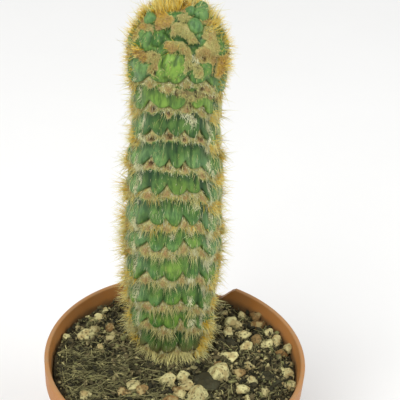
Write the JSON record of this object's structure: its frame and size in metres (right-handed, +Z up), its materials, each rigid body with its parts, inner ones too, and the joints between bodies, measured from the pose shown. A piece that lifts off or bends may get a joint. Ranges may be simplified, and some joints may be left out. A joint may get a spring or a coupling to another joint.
{
  "type": "potted trichocereus",
  "caption": "Ribbed golden-spined columnar cactus with tan felt bands round its rows of swollen lobes, growing in a round tapered plastic pot of loose pumice mix with a chipped rim.",
  "frame": {"origin": "middle of the pot's underside, in the plane that the pot stands on", "axes": "+Z up along the column; -Y is the front that the picture shows, and +X is to the picture's right"},
  "size_m": [0.12, 0.12, 0.266],
  "materials": {
    "terracotta_plastic": "satin",
    "potting_mix": "matte",
    "cactus_skin": "satin",
    "pumice": "matte",
    "lapilli": "matte",
    "lava": "matte"
  },
  "bodies": {
    "root": {"pot": "terracotta_plastic", "potting_soil": "potting_mix", "stem": "cactus_skin", "pumice_01": "pumice", "pumice_02": "pumice", "pumice_03": "pumice", "pumice_04": "pumice", "pumice_05": "pumice", "pumice_06": "pumice", "pumice_07": "pumice", "pumice_08": "pumice", "pumice_09": "pumice", "pumice_10": "pumice", "pumice_11": "pumice", "pumice_12": "pumice", "pumice_13": "pumice", "pumice_14": "pumice", "lapilli_01": "lapilli", "lapilli_02": "lapilli", "lapilli_03": "lapilli", "lapilli_04": "lapilli", "lava_01": "lava", "lava_02": "lava"}
  },
  "joints": []
}
